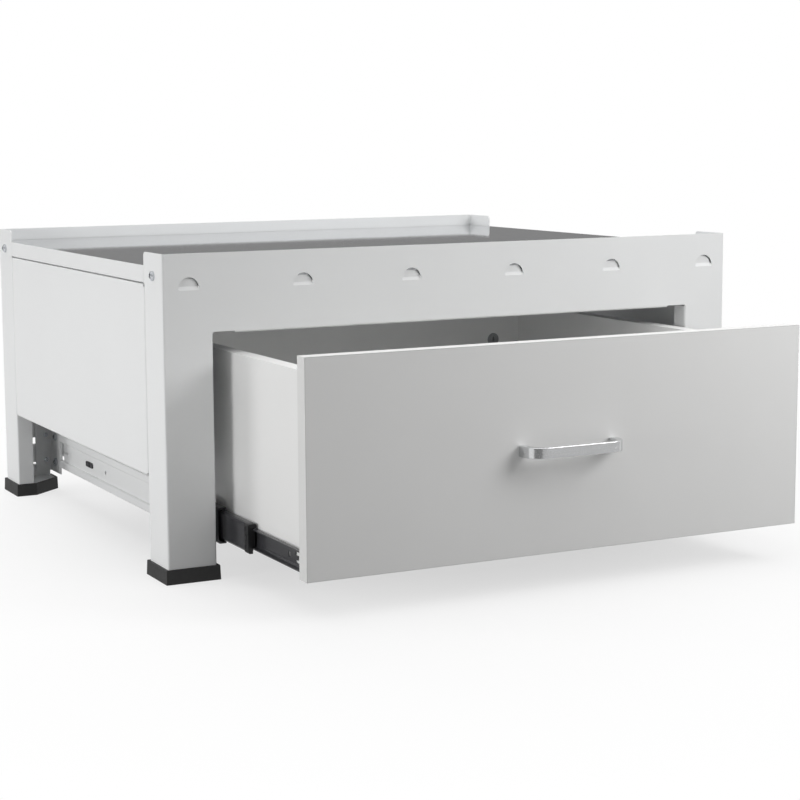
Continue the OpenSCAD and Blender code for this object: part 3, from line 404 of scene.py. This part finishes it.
# Found from 20 corners of the photograph: 2 m from the pedestal's middle and 0.42 m up.
# Its angles are in radians, and its focal length and centre in the picture's pixels.
camera_place = Vector((-0.917459, -1.785463, 0.418952))
yaw, pitch, roll = 0.45766, -0.13469, -0.008
focal_px, centre_px = 1886.84, (356.688, 386.130)
picture_px = 800
sensor_mm = 36

forward = Vector((math.sin(yaw) * math.cos(pitch), math.cos(yaw) * math.cos(pitch), math.sin(pitch)))
level = Vector((math.cos(yaw), -math.sin(yaw), 0))
upright = level.cross(forward)
right = math.cos(roll) * level + math.sin(roll) * upright
up = -math.sin(roll) * level + math.cos(roll) * upright

lens = bpy.data.cameras.new("photograph camera")
lens.sensor_width = sensor_mm
lens.lens = sensor_mm * focal_px / picture_px
lens.shift_x = (picture_px / 2 - centre_px[0]) / picture_px
lens.shift_y = (centre_px[1] - picture_px / 2) / picture_px
lens.clip_start, lens.clip_end = 0.05, 60
camera = bpy.data.objects.new("photograph camera", lens)
camera.matrix_world = Matrix((
    (right.x, up.x, -forward.x, camera_place.x),
    (right.y, up.y, -forward.y, camera_place.y),
    (right.z, up.z, -forward.z, camera_place.z),
    (0, 0, 0, 1)))
scene.collection.objects.link(camera)
scene.camera = camera


# ---- Lamps -------------------------------------------------------------------------

lit_place = Vector((0, -0.1, 0.15))     # the pedestal's middle, a little towards its drawer


def soft_box(name, place, width, height, watts, mirrored=True):
    """Rectangular soft light turned to the pedestal, which gloss and metal mirror or not."""
    lamp = bpy.data.lights.new(name, "AREA")
    lamp.shape = "RECTANGLE"
    lamp.size, lamp.size_y = width, height
    lamp.energy = watts
    box = bpy.data.objects.new(name, lamp)
    box.location = place
    box.rotation_mode = "QUATERNION"
    box.rotation_quaternion = (lit_place - Vector(place)).to_track_quat("-Z", "Y")
    box.visible_glossy = mirrored
    scene.collection.objects.link(box)


# The photograph's own light, from its tones: a near key at the right front, two boxes far to
# the left whose light the leg cuts off along the drawer's side, a wide one overhead and one
# behind that lights the rear frame. Each has its place, width, height and watts.
soft_box("key, right front", (0.75, -1.0, 0.75), 0.6, 0.6, 7.5)
soft_box("side, left", (-2.0, -0.5, 0.3), 0.7, 0.5, 11.4, mirrored=False)
soft_box("side, left rear", (-2.0, 1.0, 0.7), 0.7, 0.7, 11, mirrored=False)
soft_box("overhead", (0, 0, 2.6), 4.0, 4.0, 62)
soft_box("rear", (0, 2.0, 1.8), 1.4, 1.0, 22, mirrored=False)


# ---- Floor, cards and sky ----------------------------------------------------------------

def stage_sheet(name, corners, material):
    """One flat sheet of the studio."""
    mesh = bpy.data.meshes.new(name)
    mesh.from_pydata(corners, [], [(0, 1, 2, 3)])
    mesh.materials.append(material)
    sheet = bpy.data.objects.new(name, mesh)
    scene.collection.objects.link(sheet)
    return sheet


def seen_directly(tree):
    """1 for rays from the camera, or seen in metal or glass; 0 for light on the object."""
    path = add(tree, "LightPath")
    first = add(tree, "Math", {}, {0: path.outputs["Is Camera Ray"], 1: path.outputs["Is Glossy Ray"]},
                operation="MAXIMUM")
    both = add(tree, "Math", {}, {0: first.outputs[0], 1: path.outputs["Is Transmission Ray"]},
               operation="MAXIMUM")
    return both.outputs[0]


floor_reach = 30                # from its middle to each side
floor_seen = "#F0F0F0"          # its paint as the camera sees it, and as light bounces off it
floor_bounced = "#8C8C8C"
white_share = (0.62, 1.0)       # how far it is made white, near the pedestal and away from it
white_from = (0.25, 0.85)       # and the distances from its middle between which that changes


def pale_floor():
    """White where it is seen, fading to matt near the pedestal so that its soft shadow stays.
    Light that it throws back at the pedestal is a greyer floor's."""
    material, tree = new_material("pale studio floor")
    seen = add(tree, "LightPath").outputs["Is Camera Ray"]
    paint = add(tree, "Mix", {COLOUR_A: colour(floor_bounced), COLOUR_B: colour(floor_seen)},
                {MIX_SHARE: seen}, data_type="RGBA")
    matt = add(tree, "BsdfDiffuse", {}, {"Color": paint.outputs[MIXED_COLOUR]})
    glow = add(tree, "Emission", {"Color": (1, 1, 1, 1), "Strength": 1.0})
    place = add(tree, "TexCoord").outputs["Object"]
    distance = add(tree, "VectorMath", {}, {0: place}, operation="LENGTH").outputs["Value"]
    lift = add(tree, "MapRange", {"From Min": white_from[0], "From Max": white_from[1],
                                  "To Min": white_share[0], "To Max": white_share[1]}, {"Value": distance})
    share = add(tree, "Math", {}, {0: seen_directly(tree), 1: lift.outputs["Result"]}, operation="MULTIPLY")
    mixed = add(tree, "MixShader", {}, {0: share.outputs[0], 1: matt.outputs[0], 2: glow.outputs[0]})
    add(tree, "OutputMaterial", links={"Surface": mixed.outputs[0]})
    corners = [(x * floor_reach, y * floor_reach, 0) for x, y in ((-1, -1), (1, -1), (1, 1), (-1, 1))]
    stage_sheet("floor", corners, material)


pale_floor()


def card(name, hex_code, corners):
    """Flat card that only gloss and metal see, for a part of the studio that isn't white."""
    material, tree = new_material(name)
    glow = add(tree, "Emission", {"Color": colour(hex_code), "Strength": 1.0})
    add(tree, "OutputMaterial", links={"Surface": glow.outputs[0]})
    sheet = stage_sheet(name, corners, material)
    for kind in ("camera", "diffuse", "shadow", "transmission"):
        setattr(sheet, "visible_" + kind, False)


def upright_card(name, hex_code, start, end, top):
    """Card standing on the floor along the line from start to end, both (x, y)."""
    card(name, hex_code, [(*start, 0.0), (*end, 0.0), (*end, top), (*start, top)])


def lying_card(name, hex_code, *corners):
    """Card just clear of the floor, from its corners (x, y)."""
    card(name, hex_code, [(*corner, card_lift) for corner in corners])


# The deck mirrors the rear card. The handle mirrors the others: its left leg the pale one on
# the left, its bend those round the camera, and its bar the pale ones at the right front.
dark, bar_pale = "#848484", "#C6C6C6"
rear_top, front_top = 1.7, 3.0
card_lift = 2 * MM
handle_spot, camera_spot = (-0.1, -0.42), (-0.6, -4.3)      # corners that the lying cards share
upright_card("grey card, rear", "#8C8C8C", (-2.8, 4.2), (4.5, 4.2), rear_top)
upright_card("pale card, left", "#D0D0D0", (-5.0, 2.0), (-5.2, -1.4), front_top)
upright_card("grey card, left front", "#B0B0B0", (-5.2, -1.4), (-4.8, -2.6), front_top)
upright_card("dark card, left front", dark, (-4.8, -2.6), (-1.6, -4.7), front_top)
upright_card("grey card, camera", "#A6A6A6", (-1.6, -4.7), (0.3, -4.8), front_top)
upright_card("pale card, right front", bar_pale, (0.3, -4.8), (4.5, -3.6), front_top)
lying_card("dark card on the floor", dark, handle_spot, (-3.6, -2.2), (-2.6, -4.0), camera_spot)
lying_card("pale card on the floor", bar_pale, handle_spot, camera_spot, (4.0, -4.0), (3.2, -0.38))

ambient_light = 0.11            # share of a full white sky


def studio_sky():
    """White where it is seen or mirrored, and a faint even light on the object."""
    world = bpy.data.worlds.new("studio")
    world.use_nodes = True
    tree = world.node_tree
    tree.nodes.clear()
    ambient = add(tree, "Background", {"Color": (1, 1, 1, 1), "Strength": ambient_light})
    wall = add(tree, "Background", {"Color": (1, 1, 1, 1), "Strength": 1.0})
    mixed = add(tree, "MixShader", {}, {0: seen_directly(tree), 1: ambient.outputs[0], 2: wall.outputs[0]})
    add(tree, "OutputWorld", links={"Surface": mixed.outputs[0]})
    scene.world = world


studio_sky()
